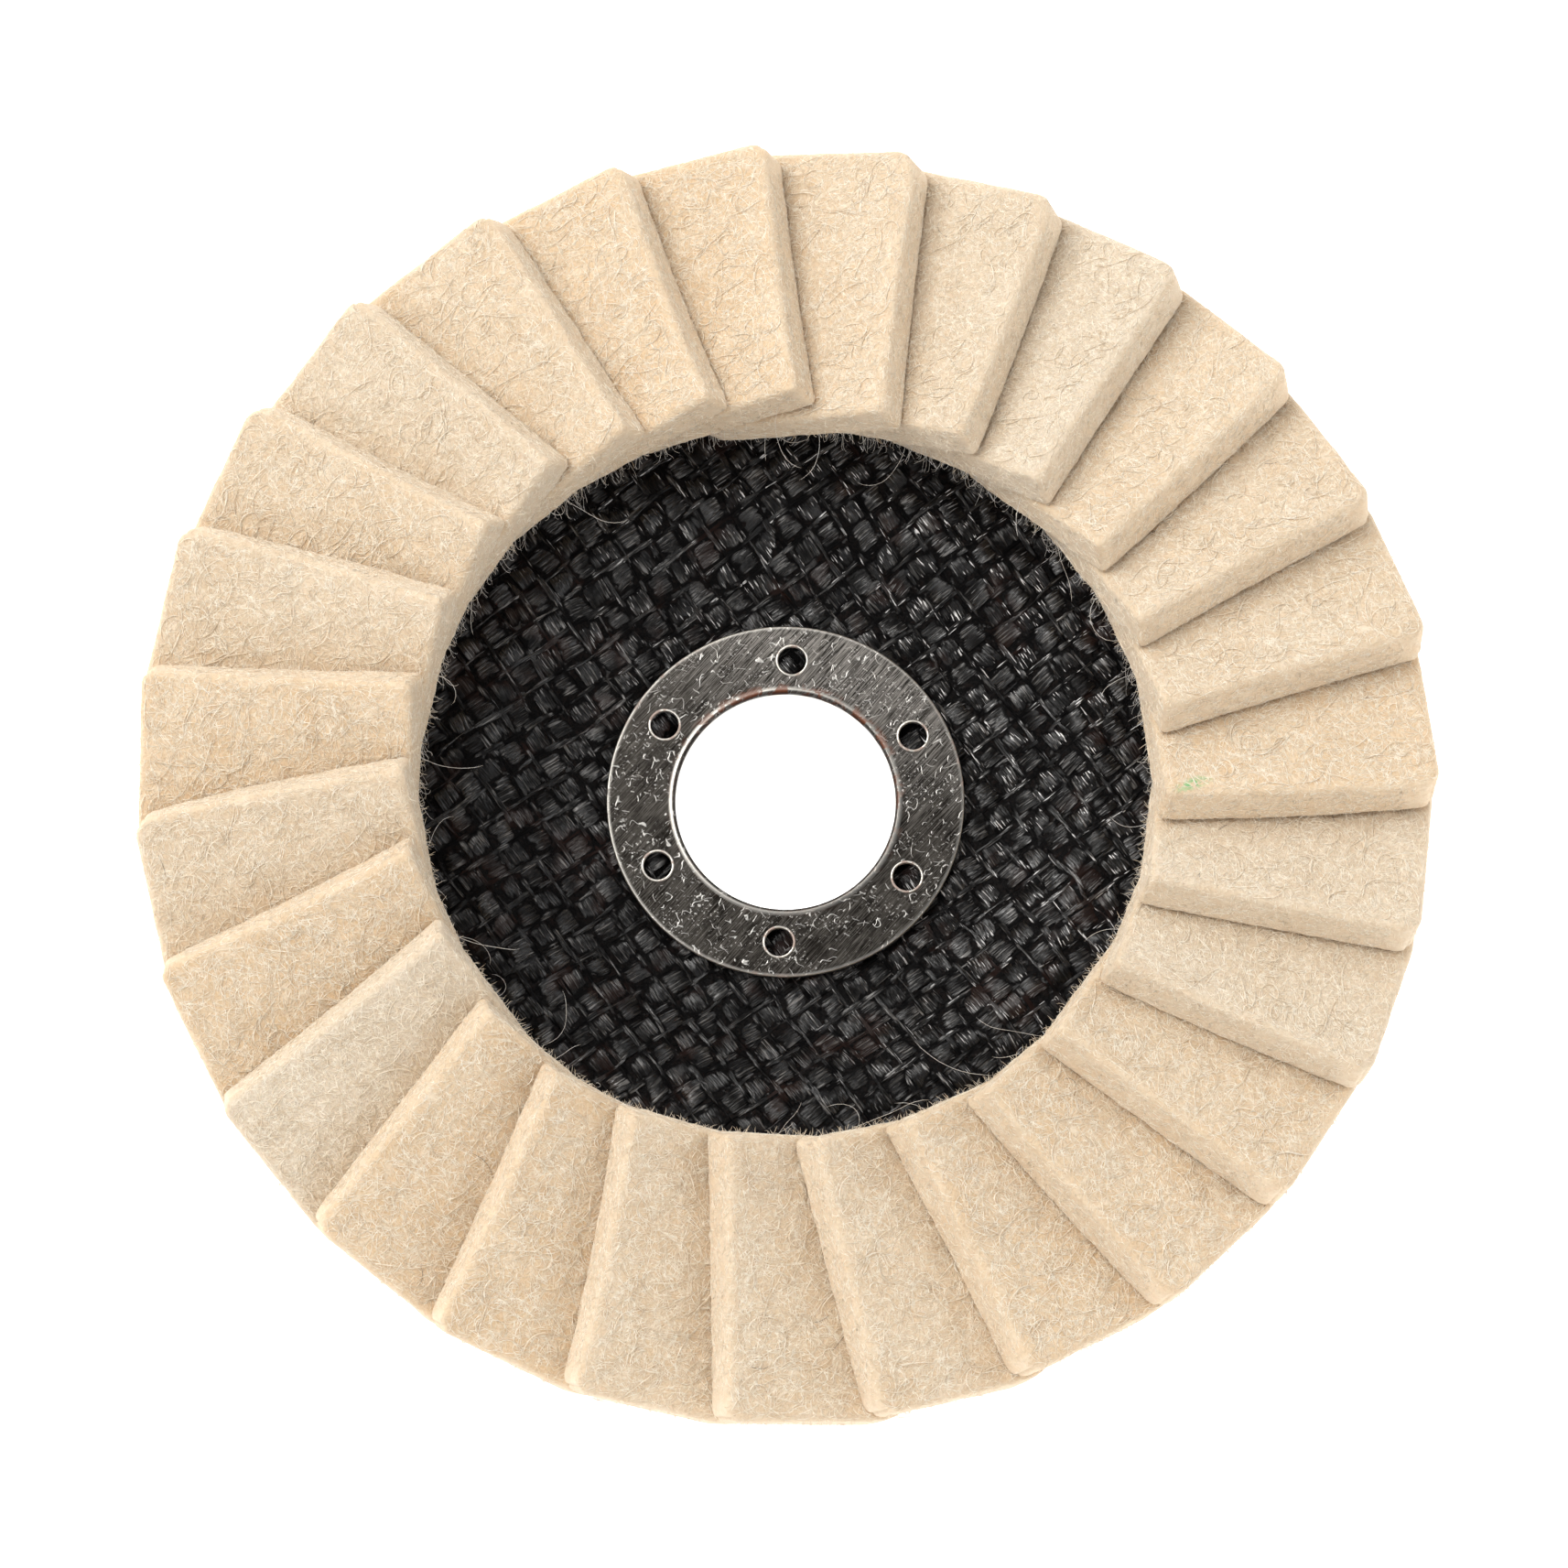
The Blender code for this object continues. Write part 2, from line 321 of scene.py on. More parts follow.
def felt_material():
    """Undyed wool felt: curly light fibres over a tan ground. It reads four values from the flap's points:
    cut_face on the smoother cut sides, flap_tint from warm to grey, a painted shade where the flap comes out
    from under the neighbour on top, and dye."""
    s = Shader("wool_felt")
    place = s.millimetres()
    curly = s.warped(place, 0.6, 0.7)
    fibres = None
    for layer in range(4):
        lie = s.stretched(curly, 0.8 * layer, (4.2, 0.8, 0.8))
        lines = s.curls(lie, 0.75 + 0.18 * layer, 0.036 + 0.010 * layer, layer)
        broken = s.ramp(s.noise(lie, 1.5, 0.0), 0.42, 0.54)
        strand = s.times(lines, broken, 1.0 - 0.12 * layer)
        fibres = strand if fibres is None else s.math("MAXIMUM", fibres, strand)
    cut = s.attribute("cut_face")
    fibres = s.times(fibres, s.scaled(cut, -0.35, 1.0))

    clouds = s.ramp(s.noise(place, 0.14, 2.0), 0.30, 0.70)
    ground = s.mix(clouds, (0.712, 0.508, 0.304, 1), (0.778, 0.588, 0.384, 1))
    greyer = s.mix(clouds, (0.675, 0.560, 0.420, 1), (0.740, 0.630, 0.490, 1))
    tinted = s.mix(s.attribute("flap_tint"), ground, greyer)
    fuzz = s.noise(curly, 4.6, 2.0, 0.6)
    mottled = s.mix(s.ramp(fuzz, 0.34, 0.62), s.mix(0.30, tinted, (0.46, 0.30, 0.16, 1)),
                    s.mix(0.18, tinted, (0.93, 0.81, 0.64, 1)))
    light = s.mix(s.times(fibres, 0.50), mottled, (0.95, 0.85, 0.69, 1))
    # small pits, bumped down into the felt and painted darker: painted shade in them
    shaded_pits = s.ramp(s.noise(place, 2.6, 2.0, 0.7), 0.63, 0.75)
    pitted = s.mix(s.times(shaded_pits, 0.30), light, (0.46, 0.31, 0.17, 1))
    # painted shade: a warm brown darkening where the flap comes out from under the neighbour on top
    shaded = s.mix(s.times(s.attribute("tucked"), 0.30), pitted, (0.62, 0.43, 0.24, 1))
    edge_tone = s.mix(s.ramp(s.noise(curly, 0.9, 3.0), 0.35, 0.65),
                      (0.74, 0.570, 0.385, 1), (0.82, 0.680, 0.500, 1))
    coloured = s.mix(s.times(cut, 0.50), shaded, edge_tone)
    specks = s.ramp(s.noise(curly, 1.25, 1.0), 0.765, 0.80)
    coloured = s.mix(s.times(specks, 0.28), coloured, (0.30, 0.20, 0.12, 1))
    smear = s.times(s.attribute("dye"), s.ramp(s.noise(curly, 2.2, 2.0), 0.38, 0.56), 0.90)
    coloured = s.mix(smear, coloured, (0.10, 0.50, 0.16, 1))

    relief = s.scaled(shaded_pits, -0.6, s.scaled(fuzz, 0.7, fibres))
    normal = s.bump(relief, 0.60, 0.16 * MM)
    return s.finish(Base_Color=coloured, Roughness=0.95, Normal=normal, Sheen_Weight=0.20,
                    Sheen_Roughness=0.6, Subsurface_Weight=0.10, Subsurface_Radius=(1.0, 0.7, 0.45),
                    Subsurface_Scale=1.0 * MM, Specular_IOR_Level=0.12)


def fibre_material(name, dark, light):
    """Single wool hairs, which change tone from hair to hair."""
    s = Shader(name)
    place = s.millimetres()
    tone = s.ramp(s.noise(place, 2.2, 1.0), 0.35, 0.65)
    normal = s.bump(s.noise(place, 9.0, 1.0), 0.2, 0.02 * MM)
    return s.finish(Base_Color=s.mix(tone, dark, light), Roughness=0.55, Normal=normal,
                    Sheen_Weight=0.2, Specular_IOR_Level=0.35)


def cloth_material():
    """Glass rovings under black phenolic resin, with painted glints: light streaks painted into the colour
    of the yarn tops, most towards +X and +Y. It reads two values from the weave's points: proud, which is
    how far a place stands out of the resin, and how strongly the yarn shows the painted glints."""
    s = Shader("black_glass_cloth")
    lie = s.node("UVMap", uv_map="yarn").outputs[0]
    place = s.millimetres()

    def streaks(length, width, detail=1.0, roughness=0.5):
        return s.noise(s.stretched(lie, 0.0, (length, width, 1.0)), 1.0, detail, roughness)

    strands = streaks(3.2, 0.26, 2.0, 0.6)
    ridges = s.ramp(strands, 0.36, 0.64)
    filaments = streaks(2.2, 0.10)
    tiles = streaks(2.4, 1.0)
    blotch = s.noise(place, 0.22, 3.0)
    film = s.ramp(s.noise(place, 0.42, 2.0), 0.42, 0.60)
    thread = s.times(s.ramp(strands, 0.52, 0.64), s.scaled(film, -0.9, 1.0))
    black = s.mix(s.ramp(blotch, 0.54, 0.66), (0.0040, 0.0038, 0.0040, 1), (0.0170, 0.0095, 0.0080, 1))
    proud = s.ramp(s.attribute("proud"), 0.10, 0.42)
    # tile-to-tile change in shine and in the grey of the threads; in the colour it is painted sheen
    sheen_patch = s.ramp(streaks(2.9, 2.6), 0.36, 0.64)
    proud = s.times(proud, s.scaled(sheen_patch, 0.75, 0.25))
    colour = s.mix(s.times(thread, proud, 0.9), black, (0.165, 0.157, 0.148, 1))
    axes = s.node("SeparateXYZ", {0: place})
    # painted glints: light streaks painted into the colour on the yarn tops, towards +X and +Y, on tiles
    # picked by noise, and more on one family of yarns
    glint_side = s.ramp(s.scaled(axes.outputs["Y"], 0.7, axes.outputs["X"]), -35.0, 30.0)
    glints = s.ramp(streaks(1.5, 0.17), 0.60, 0.65)
    above_resin = s.ramp(s.attribute("proud"), 0.05, 0.25)
    glinting_tiles = s.ramp(streaks(1.9, 2.4), 0.46, 0.60)
    glints = s.times(glints, glint_side, above_resin, glinting_tiles, s.attribute("worn"))
    # painted highlight: the glints are painted near white
    colour = s.mix(glints, colour, (0.86, 0.85, 0.84, 1))
    rough = s.scaled(film, 0.12, 0.09)
    shine = s.scaled(proud, 0.66, 0.03)
    normal = s.bump(tiles, 1.0, 0.26 * MM)
    normal = s.bump(ridges, 1.0, 0.095 * MM, normal)
    normal = s.bump(filaments, 0.8, 0.05 * MM, normal)
    return s.finish(Base_Color=colour, Roughness=rough, Normal=normal, Specular_IOR_Level=shine)


def resin_material():
    """The black resin between the yarns and on the cut edge of the backing."""
    s = Shader("black_resin")
    place = s.millimetres()
    lumps = s.noise(place, 1.7, 4.0, 0.65)
    layers = s.noise(s.stretched(place, 0.0, (4.0, 4.0, 0.12)), 1.0, 2.0)
    colour = s.mix(s.ramp(lumps, 0.45, 0.7), (0.0020, 0.0019, 0.0020, 1), (0.0090, 0.0058, 0.0050, 1))
    normal = s.bump(lumps, 1.0, 0.30 * MM)
    normal = s.bump(layers, 0.35, 0.10 * MM, normal)
    wet = s.scaled(s.ramp(s.noise(place, 1.1, 2.0), 0.60, 0.70), 0.5, 0.06)
    rough = s.scaled(lumps, 0.35, 0.10)
    return s.finish(Base_Color=colour, Roughness=rough, Normal=normal, Specular_IOR_Level=wet)


def steel_material():
    """Brushed zinc-plated sheet with nicks and scratches, and a painted highlight on its brushed lines
    towards +Y.
    It reads three values from the ring's points: rim where the edge is polished and where a painted
    highlight lies on the crest of the lip round the bore and on the bore wall, rust, and a thin dark band
    inside the top of the bore."""
    s = Shader("brushed_ring_steel")
    place = s.millimetres()
    brushed = s.stretched(place, math.radians(48), (2.4, 0.075, 1.0))
    lines = s.noise(brushed, 1.0, 3.0, 0.7)
    mottle = s.noise(place, 0.45, 4.0, 0.65)
    grains = s.ramp(s.noise(s.warped(place, 1.5, 0.5), 3.4, 2.0, 0.6), 0.60, 0.67)
    grains = s.times(grains, s.ramp(s.noise(place, 0.30, 2.0), 0.40, 0.62))
    scratches = None
    for layer in range(3):
        lie = s.stretched(place, 0.9 * layer + 0.4, (1.2, 0.9, 1.0))
        lines_here = s.curls(lie, 0.55, 0.014, layer)
        broken = s.ramp(s.noise(lie, 0.95, 0.0), 0.60, 0.64)
        mark = s.times(lines_here, broken)
        scratches = mark if scratches is None else s.math("MAXIMUM", scratches, mark)

    dull = s.mix(s.ramp(mottle, 0.38, 0.62), (0.016, 0.014, 0.012, 1), (0.053, 0.048, 0.042, 1))
    streaked = s.mix(s.times(s.ramp(lines, 0.46, 0.64), 0.62), dull, (0.208, 0.191, 0.170, 1))
    axes = s.node("SeparateXYZ", {0: place})
    # painted highlight: the brushed lines are lightened towards +Y and a little towards +X, where brushed
    # steel catches the light
    slant = s.scaled(axes.outputs["X"], 0.45, axes.outputs["Y"])
    worn = s.times(s.ramp(slant, 0.0, 22.0), s.ramp(lines, 0.38, 0.62))
    highlighted = s.mix(s.times(worn, 0.64), streaked, (0.54, 0.508, 0.465, 1))
    marks = s.math("MAXIMUM", s.times(grains, 0.80), s.times(scratches, 0.95))
    scratched = s.mix(marks, highlighted, (0.74, 0.72, 0.68, 1))
    # polished edges, and painted highlights on the crest of the lip round the bore and on the bore wall
    polish_and_highlight = s.mix(s.attribute("rim"), scratched, (0.90, 0.87, 0.80, 1))
    rust_noise = s.ramp(s.noise(place, 0.65, 4.0, 0.65), 0.47, 0.56)
    rust = s.times(rust_noise, s.attribute("rust"))
    colour = s.mix(rust, polish_and_highlight, (0.23, 0.065, 0.025, 1))
    # darkens a thin band round the inside top of the bore, and, like the rust, makes it plain rather than
    # metal
    colour = s.mix(s.times(s.attribute("grime"), 0.92), colour, (0.016, 0.011, 0.009, 1))
    rough = s.scaled(lines, 0.25, 0.22)
    rough = s.scaled(rust, 0.45, rough)
    rust_and_darkening = s.math("MAXIMUM", rust, s.attribute("grime"))
    normal = s.bump(lines, 0.30, 0.04 * MM)
    normal = s.bump(s.math("ADD", grains, scratches), 0.40, 0.05 * MM, normal)
    return s.finish(Base_Color=colour, Metallic=s.scaled(rust_and_darkening, -0.97, 1.0), Roughness=rough,
                    Specular_IOR_Level=s.scaled(rust_and_darkening, -0.42, 0.5), Normal=normal)


def adhesive_material():
    """Amber epoxy, clearer where it is thick."""
    s = Shader("cured_adhesive")
    place = s.millimetres()
    cloud = s.noise(place, 0.5, 3.0)
    colour = s.mix(s.ramp(cloud, 0.35, 0.65), (0.33, 0.20, 0.085, 1), (0.58, 0.43, 0.24, 1))
    normal = s.bump(s.noise(place, 1.5, 2.0), 0.4, 0.15 * MM)
    return s.finish(Base_Color=colour, Roughness=s.scaled(cloud, 0.2, 0.2), Normal=normal,
                    Subsurface_Weight=0.15, Subsurface_Radius=(1.0, 0.6, 0.3), Subsurface_Scale=1 * MM)


def stage_material(name, colour, glow):
    """Matt studio paper with a faint grain, lit a little from behind."""
    s = Shader(name)
    grain = s.noise(s.millimetres(), 0.05, 2.0)
    tone = s.mix(grain, (colour * 0.985, colour * 0.985, colour * 0.985, 1), (colour, colour, colour, 1))
    return s.finish(Base_Color=tone, Roughness=0.9, Emission_Color=tone, Emission_Strength=glow)


# ---------------------------------------------------------------- felt flaps

def underside_height(across, along):
    """Height of a flap's underside over its glued edge: one stack step for each pitch of bearing."""
    radius = np.hypot(across, along)
    past_root = np.arctan2(across, along) + np.arcsin(root_offset / radius)
    return stack_step * past_root / flap_pitch


def felt_normal(across, along):
    """Direction of a flap's thickness, square to its underside."""
    step = 0.01 * MM
    slope_across = underside_height(across + step, along) - underside_height(across - step, along)
    slope_along = underside_height(across, along + step) - underside_height(across, along - step)
    normal = np.stack([-slope_across, -slope_along, np.full_like(slope_along, 2 * step)], -1)
    return normal / np.linalg.norm(normal, axis=-1, keepdims=True)


def felt_point(across, along, level):
    """Point in a flap's own axes. level runs from 0 on the underside to 1 on the upper face."""
    normal = felt_normal(across, along)
    thickness = (FLAP_HEIGHT + FELT_FILL) * normal[..., 2]
    sunk = level * thickness - FELT_FILL / 2
    base = np.stack([across, along, underside_height(across, along)], -1)
    return base + normal * sunk[..., None]


def flap_axes(joint):
    """A flap's own directions: clockwise across it, outwards along it, and up."""
    outwards = -np.array(joint["axis"])
    return np.stack([[outwards[1], -outwards[0], 0], outwards, [0, 0, 1]])


class Flap:
    """One flap: where it sits, and how far its cut and lie wander from the pattern."""

    def __init__(self, index, joint, rng):
        self.number = f"{index + 1:02d}"
        self.body = joint["child"]
        self.axes = flap_axes(joint)
        self.height = joint["pos_m"][2]
        # Slide and yaw drift slowly round the disc, with a little chance on top.
        bearing = index * flap_pitch
        self.slide = 0.35 * MM * -math.sin(bearing + 0.5) + rng.normal(0, 0.12) * MM
        self.yaw = 0.036 + 0.014 * math.cos(bearing + 0.9) + rng.normal(0, 0.012)
        self.longer = rng.normal(0, 0.12) * MM
        self.bow = rng.normal(0, 0.20) * MM
        self.lift = rng.uniform(0.0, 0.10) * MM
        self.corner = rng.uniform(1.3, 2.3) * MM
        self.inset = rng.normal(0, 0.12) * MM if index else 0.9 * MM  # the first flap sits further in
        self.tint = min(max(rng.normal(0.35, 0.25), 0.0), 0.9)
        if index in GREY_FLAPS + WARM_FLAPS:
            self.tint = float(index in GREY_FLAPS)
        self.ripples = [Ripple(rng, wavelength) for wavelength, _ in FELT_WAVES]

    def wander(self, across, along):
        """Moves plan places as the flap's cut and lie do, and keeps the outer end inside the CAD outline."""
        out = (along - flap_inner) / FLAP_LENGTH
        wide = (across + root_offset) / flap_width
        sideways = self.slide + self.yaw * (along - flap_middle) + self.bow * 4 * out * (1 - out)
        outwards = (self.longer - 0.25 * MM) * out - self.inset * (1 - out) - self.yaw * across
        return across + sideways * wide, along + outwards

    def place(self, across, along, level):
        """World points of plan places on this flap, with its waves."""
        across, along = self.wander(across, along)
        points = felt_point(across, along, level)
        wide = np.clip((across + root_offset) / flap_width, 0, 1)
        for ripple, (_, amount) in zip(self.ripples, FELT_WAVES):
            points[..., 2] += ripple(points) * amount
        points[..., 2] += self.lift * wide**4
        points[..., 0] += self.ripples[1](points + 1.0) * EDGE_WANDER
        points[..., 1] += self.ripples[1](points + 2.0) * EDGE_WANDER
        world = points @ self.axes
        world[..., 2] += self.height
        return world


def shown_depth(across, along):
    """How far a place lies out from under the free edge of the neighbour on top; less than 0 is hidden."""
    radius = np.hypot(across, along)
    edge_bearing = np.arcsin(FREE_OFFSET / radius) - flap_pitch
    return (np.arctan2(across, along) - edge_bearing) * radius


def rounded(place, size):
    """Rounds the edges of a box: each place near an edge is pulled onto the round."""
    core = np.clip(place, FELT_ROUND, size - FELT_ROUND)
    offset = place - core
    length = np.linalg.norm(offset, axis=-1, keepdims=True)
    return core + offset * FELT_ROUND / np.maximum(length, 1e-12)


def rounded_plan_corners(across, along, corners):
    """Pulls the two outer corners of the plan onto arcs: each corner square shrinks to a quarter disc."""
    for side, corner in zip((0.0, flap_width), corners):
        a = np.maximum(corner - np.abs(across - side), 0)
        b = np.maximum(along - (FLAP_LENGTH - corner), 0)
        shrink = np.maximum(a, b) / np.maximum(np.hypot(a, b), 1e-12)
        shrink = np.where((a > 0) & (b > 0), shrink, 1.0)
        inwards = 1 if side == 0.0 else -1
        across = np.where(a > 0, side + inwards * (corner - a * shrink), across)
        along = np.where(b > 0, FLAP_LENGTH - corner + b * shrink, along)
    return across, along


def box_lines(size):
    """Places along each side of a box: a grain apart in the middle and closer on the rounded edges."""
    lines = []
    near = FELT_ROUND * np.array([0.0, 0.35, 0.68])
    for length in size:
        steps = max(round((length - 2 * FELT_ROUND) / FELT_GRAIN), 4)
        middle = np.linspace(FELT_ROUND, length - FELT_ROUND, steps + 1)
        lines.append(np.concatenate([near, middle, (length - near)[::-1]]))
    return lines


def make_flap(flap, material, dyed):
    """One flap's felt, and the values that its material reads."""
    size = np.array([flap_width, FLAP_LENGTH, FLAP_HEIGHT])
    lines = box_lines(size)
    faces, lattice = box_shell(lines)
    flat = np.stack([lines[axis][lattice[:, axis]] for axis in range(3)], -1)
    soft = rounded(flat, size)
    across, along = rounded_plan_corners(soft[:, 0], soft[:, 1], (ROOT_CORNER, flap.corner))
    across, along = across - root_offset, flap_inner + along
    points = flap.place(across, along, soft[:, 2] / FLAP_HEIGHT)
    piece = new_piece(f"felt_{flap.number}", points, faces, material, flap.body)
    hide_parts(f"flap_{flap.number}")
    depth = np.minimum(flat[:, :2], size[:2] - flat[:, :2]).min(-1)
    on_face = (flat[:, 2] > size[2] - 1e-9) | (flat[:, 2] < 1e-9)
    inset = np.where(on_face, depth, 0.0)
    set_values(piece, "cut_face", np.clip(1 - inset / (0.8 * MM), 0, 1) ** 1.5)
    set_values(piece, "flap_tint", np.full(len(points), flap.tint))
    # painted shade near the free edge of the neighbour on top, fading out over 4 mm
    set_values(piece, "tucked", np.clip(1 - shown_depth(across, along) / (4 * MM), 0, 1))
    spot_x, spot_y = points[:, 0] - DYE_CENTRE[0], points[:, 1] - DYE_CENTRE[1]
    spread = np.hypot(spot_x + 0.5 * spot_y, 3.4 * (spot_y - 0.45 * spot_x))
    set_values(piece, "dye", np.clip(1.3 - spread / DYE_REACH, 0, 1) * dyed)


def curling_paths(rng, start, heading, length, curl, steps):
    """Plan paths (strand, point, xy) that set off at a heading and bend at a rate that drifts."""
    count = len(start)
    bend = rng.normal(0, curl, (count, 1)) + np.cumsum(rng.normal(0, curl * 0.35, (count, steps)), 1)
    turned = heading[:, None] + np.cumsum(bend, 1) / steps
    stride = (length / (steps - 1))[:, None]
    x = start[:, :1] + np.cumsum(np.cos(turned) * stride, 1) - np.cos(turned[:, :1]) * stride
    y = start[:, 1:] + np.cumsum(np.sin(turned) * stride, 1) - np.sin(turned[:, :1]) * stride
    return np.stack([x, y], -1)


def round_drop(*past):
    """How far a rounded edge has fallen below the flat face, at places past the start of the rounding."""
    reach = sum(np.clip(distance, 0, FELT_ROUND)**2 for distance in past)
    return FELT_ROUND - np.sqrt(np.maximum(FELT_ROUND**2 - reach, 0))


def hair_rise(rng, count, steps, arch):
    """How far each point of a hair stands off the felt: both tips are rooted and the middle arches up."""
    share = np.sin(np.linspace(0, math.pi, steps))
    return -0.02 * MM + share * rng.uniform(0.02 * MM, arch, (count, 1))


def surface_hairs(flap, rng, count, length, curl, steps, arch):
    """World paths of hairs that lie on the shown part of a flap's upper face and over its edges. Three times
    the count are drawn, since many start under the neighbour."""
    start = np.stack([
        rng.uniform(-root_offset, FREE_OFFSET - 0.1 * MM, count * 3),
        rng.uniform(flap_inner + 0.1 * MM, flap_outer - 0.2 * MM, count * 3),
    ], -1)
    start = start[shown_depth(start[:, 0], start[:, 1]) > -1.5 * MM][:count]
    count = len(start)
    plan = curling_paths(rng, start, rng.uniform(0, math.tau, count),
                         length * rng.uniform(0.5, 1.4, count), curl, steps)
    across, along = plan[..., 0], plan[..., 1]
    past_side = np.maximum(across - FREE_OFFSET + flap.corner, 0)
    past_end = np.maximum(along - flap_outer + flap.corner, 0)
    past_corner = np.hypot(past_side, past_end)
    inside = (across.max(1) < FREE_OFFSET) & (past_corner.max(1) < flap.corner - 0.1 * MM)
    inside &= (along.min(1) > flap_inner) & (along.max(1) < flap_outer - 0.1 * MM)
    across, along = across[inside], along[inside]
    rise = hair_rise(rng, len(across), steps, arch)
    drop = round_drop(across - FREE_OFFSET + FELT_ROUND,
                      flap_inner + FELT_ROUND - along,
                      along - flap_outer + FELT_ROUND)
    return flap.place(across, along, 1 + (rise - drop) / FLAP_HEIGHT)


def wall_hairs(flap, rng, count, length, on_end):
    """World paths of fibres that lie on a cut face: on the free edge, or on the inner end."""
    steps = 6
    run = flap_width if on_end else FLAP_LENGTH - 2.4 * MM
    start = np.stack([
        rng.uniform(0.2 * MM, run, count),
        rng.uniform(0.1 * MM, FLAP_HEIGHT - 0.1 * MM, count),
    ], -1)
    heading = rng.normal(0, 0.8, count) + math.pi * (rng.random(count) < 0.5)
    plan = curling_paths(rng, start, heading, length * rng.uniform(0.5, 1.4, count), 1.3, steps)
    inside = (plan[..., 0].min(1) > 0) & (plan[..., 0].max(1) < run)
    plan = plan[inside]
    height = np.clip(plan[..., 1], 0.04 * MM, FLAP_HEIGHT - 0.04 * MM)
    rise = hair_rise(rng, len(plan), steps, 0.06 * MM)
    depth = round_drop(FELT_ROUND - height, height - FLAP_HEIGHT + FELT_ROUND) - rise
    if on_end:
        return flap.place(plan[..., 0] - root_offset, flap_inner + depth, height / FLAP_HEIGHT)
    return flap.place(FREE_OFFSET - depth, flap_inner + plan[..., 0], height / FLAP_HEIGHT)


def edge_hairs(flap, rng, count):
    """World paths of short hairs that stand off the free edge and both ends."""
    side = rng.random(count)
    on_free = side < 0.48
    on_inner = side > 0.83
    across = np.where(on_free, FREE_OFFSET - 0.25 * MM, rng.uniform(-2 * MM, FREE_OFFSET - 1.2 * MM, count))
    along = np.where(on_inner, flap_inner + 0.2 * MM, flap_outer - 0.25 * MM)
    along = np.where(on_free, rng.uniform(flap_inner + 0.3 * MM, flap_outer - 1.5 * MM, count), along)
    off_end = np.where(on_inner, -math.pi / 2, math.pi / 2)
    heading = np.where(on_free, 0.0, off_end) + rng.normal(0, 0.8, count)
    length = rng.uniform(0.35, 0.95, count) * np.where(on_inner, 1.3, 1.0) * MM
    plan = curling_paths(rng, np.stack([across, along], -1), heading, length, 1.2, 5)
    plan[..., 1] = np.minimum(plan[..., 1], flap_outer + 0.35 * MM)
    level = rng.uniform(0.05, 1.0, (count, 1)) + np.linspace(0, 0.05, 5) * rng.normal(0, 1, (count, 1))
    return flap.place(plan[..., 0], plan[..., 1], level)


def loose_hairs(flap, rng, count, length, curl):
    """World paths of hairs that spill from a flap's inner end over the cloth."""
    steps = 12
    start = np.stack([
        rng.uniform(0.5 * MM - root_offset, FREE_OFFSET - 0.8 * MM, count),
        np.full(count, flap_inner + 0.3 * MM),
    ], -1)
    heading = -math.pi / 2 + rng.normal(0, 1.1, count)
    plan = curling_paths(rng, start, heading, length * rng.uniform(0.4, 1.6, count), curl, steps)
    flat = np.concatenate([plan, np.zeros((count, steps, 1))], -1) @ flap.axes
    rooted = flap.place(start[:, 0], start[:, 1], rng.uniform(0.1, 1.0, count))[:, 2:]
    lowest = cloth_height(np.hypot(flat[..., 0], flat[..., 1])) + rng.uniform(0.15, 0.8, (count, 1)) * MM
    resting = lowest + np.maximum(rooted - lowest, 0) * rng.uniform(0, 0.75, (count, 1))
    still_up = (1 - np.linspace(0, 1, steps)) ** 2
    height = rooted * still_up + resting * (1 - still_up)
    return np.concatenate([flat[..., :2], height[..., None]], -1)


def make_hairs(kind, flap, paths, radius, material):
    points, faces = tube_mesh(paths, radius)
    new_piece(f"{kind}_{flap.number}", points, faces, material, flap.body)


def make_felt():
    """Every flap with its own hairs, all drawn from one random stream."""
    felt = felt_material()
    pale = fibre_material("pale_wool_hair", (0.82, 0.68, 0.50, 1), (0.99, 0.90, 0.75, 1))
    white = fibre_material("loose_wool_hair", (0.88, 0.80, 0.70, 1), (0.98, 0.95, 0.90, 1))
    dark = fibre_material("dark_wool_hair", (0.10, 0.07, 0.05, 1), (0.26, 0.19, 0.14, 1))
    rng = np.random.default_rng(27)
    for index, joint in enumerate(joints):
        flap = Flap(index, joint, rng)
        make_flap(flap, felt, dyed=index == DYED_FLAP)
        fine = surface_hairs(flap, rng, count=1500, length=2.2 * MM, curl=1.4, steps=6, arch=0.06 * MM)
        make_hairs("fine_hair", flap, fine, 0.043 * MM, pale)
        on_edge = wall_hairs(flap, rng, count=520, length=1.5 * MM, on_end=False)
        on_end = wall_hairs(flap, rng, count=300, length=1.3 * MM, on_end=True)
        make_hairs("wall_hair", flap, np.concatenate([on_edge, on_end]), 0.036 * MM, pale)
        curly = surface_hairs(flap, rng, count=150, length=3.8 * MM, curl=2.2, steps=12, arch=0.26 * MM)
        make_hairs("curly_hair", flap, curly, 0.048 * MM, pale)
        make_hairs("edge_hair", flap, edge_hairs(flap, rng, count=520), 0.024 * MM, pale)
        spill = loose_hairs(flap, rng, count=60, length=0.95 * MM, curl=4.0)
        make_hairs("loose_hair", flap, spill, 0.017 * MM, white)
        if index % 2 == 0:
            stray = loose_hairs(flap, rng, count=3, length=6.0 * MM, curl=2.0)
            make_hairs("stray_hair", flap, stray, 0.024 * MM, white)
        if index % 3 == 1:
            odd = surface_hairs(flap, rng, count=3, length=2.6 * MM, curl=1.0, steps=8, arch=0.10 * MM)
            make_hairs("dark_hair", flap, odd, 0.022 * MM, dark)


# ---------------------------------------------------------------- glass backing

def dish_height(radius):
    """Rise of the dish over its hub: level on the hub, eased up the cone and level on the flange."""
    share = (radius - DISH_HUB_RADIUS) / (DISH_FLANGE_RADIUS - DISH_HUB_RADIUS)
    share = np.clip(share, 0, 1)
    return dish_rise * share * share * (3 - 2 * share)


